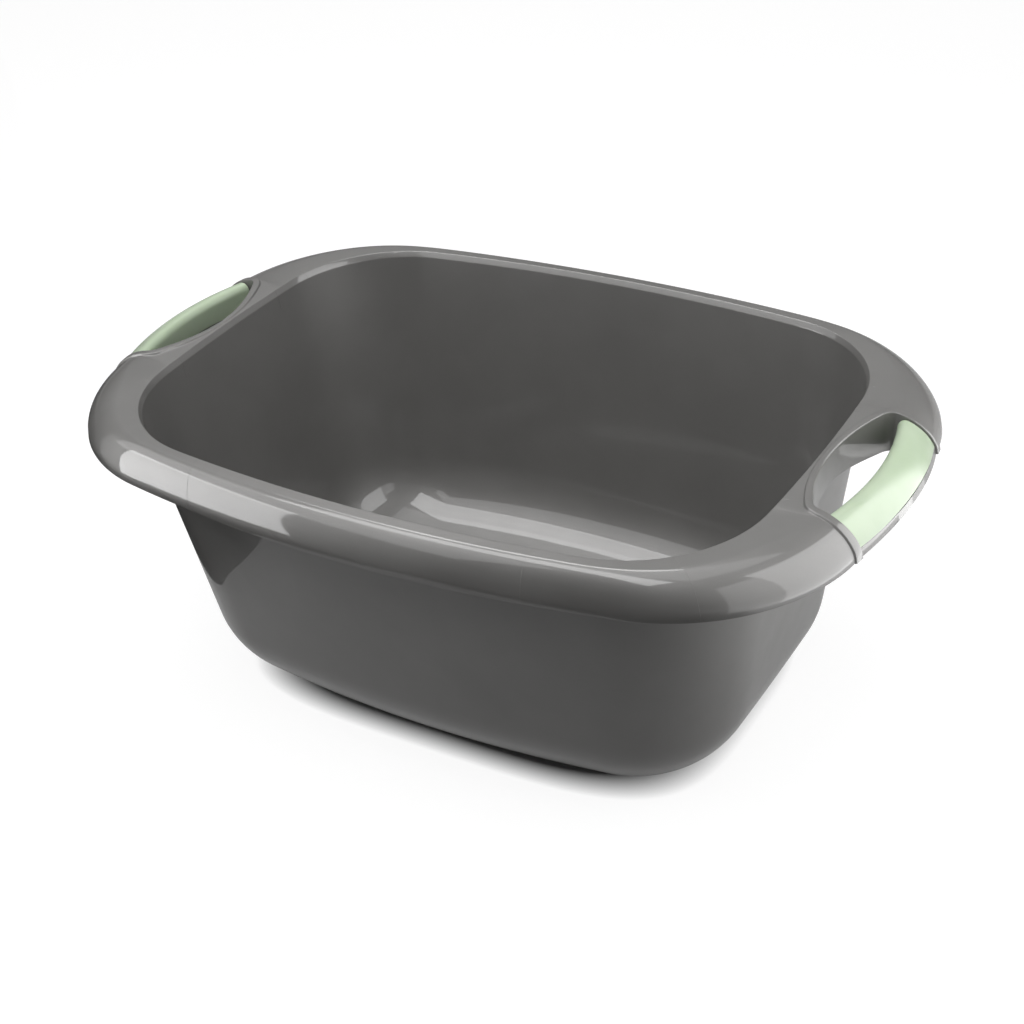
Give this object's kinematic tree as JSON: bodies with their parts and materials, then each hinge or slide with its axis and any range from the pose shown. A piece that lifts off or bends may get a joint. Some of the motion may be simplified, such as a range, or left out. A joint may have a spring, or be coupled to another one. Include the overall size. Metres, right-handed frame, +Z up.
{
  "type": "wash tub with side grips",
  "caption": "Rounded rectangular plastic wash tub with a wide rim, a hand hole at each end and a pale green saddle grip on each carrying bar.",
  "frame": {"origin": "centre of the box, at the underside of the floor", "axes": "+Z up, X along the tub's length through both grips, Y across its width"},
  "size_m": [0.5684, 0.3694, 0.2192],
  "materials": {
    "grey_plastic": "glossy moulded polypropylene, dark grey with a faint pearl sheen",
    "green_plastic": "glossy pale green plastic"
  },
  "bodies": {
    "root": {"tub": "grey_plastic", "right_grip": "green_plastic", "left_grip": "green_plastic"}
  },
  "joints": []
}
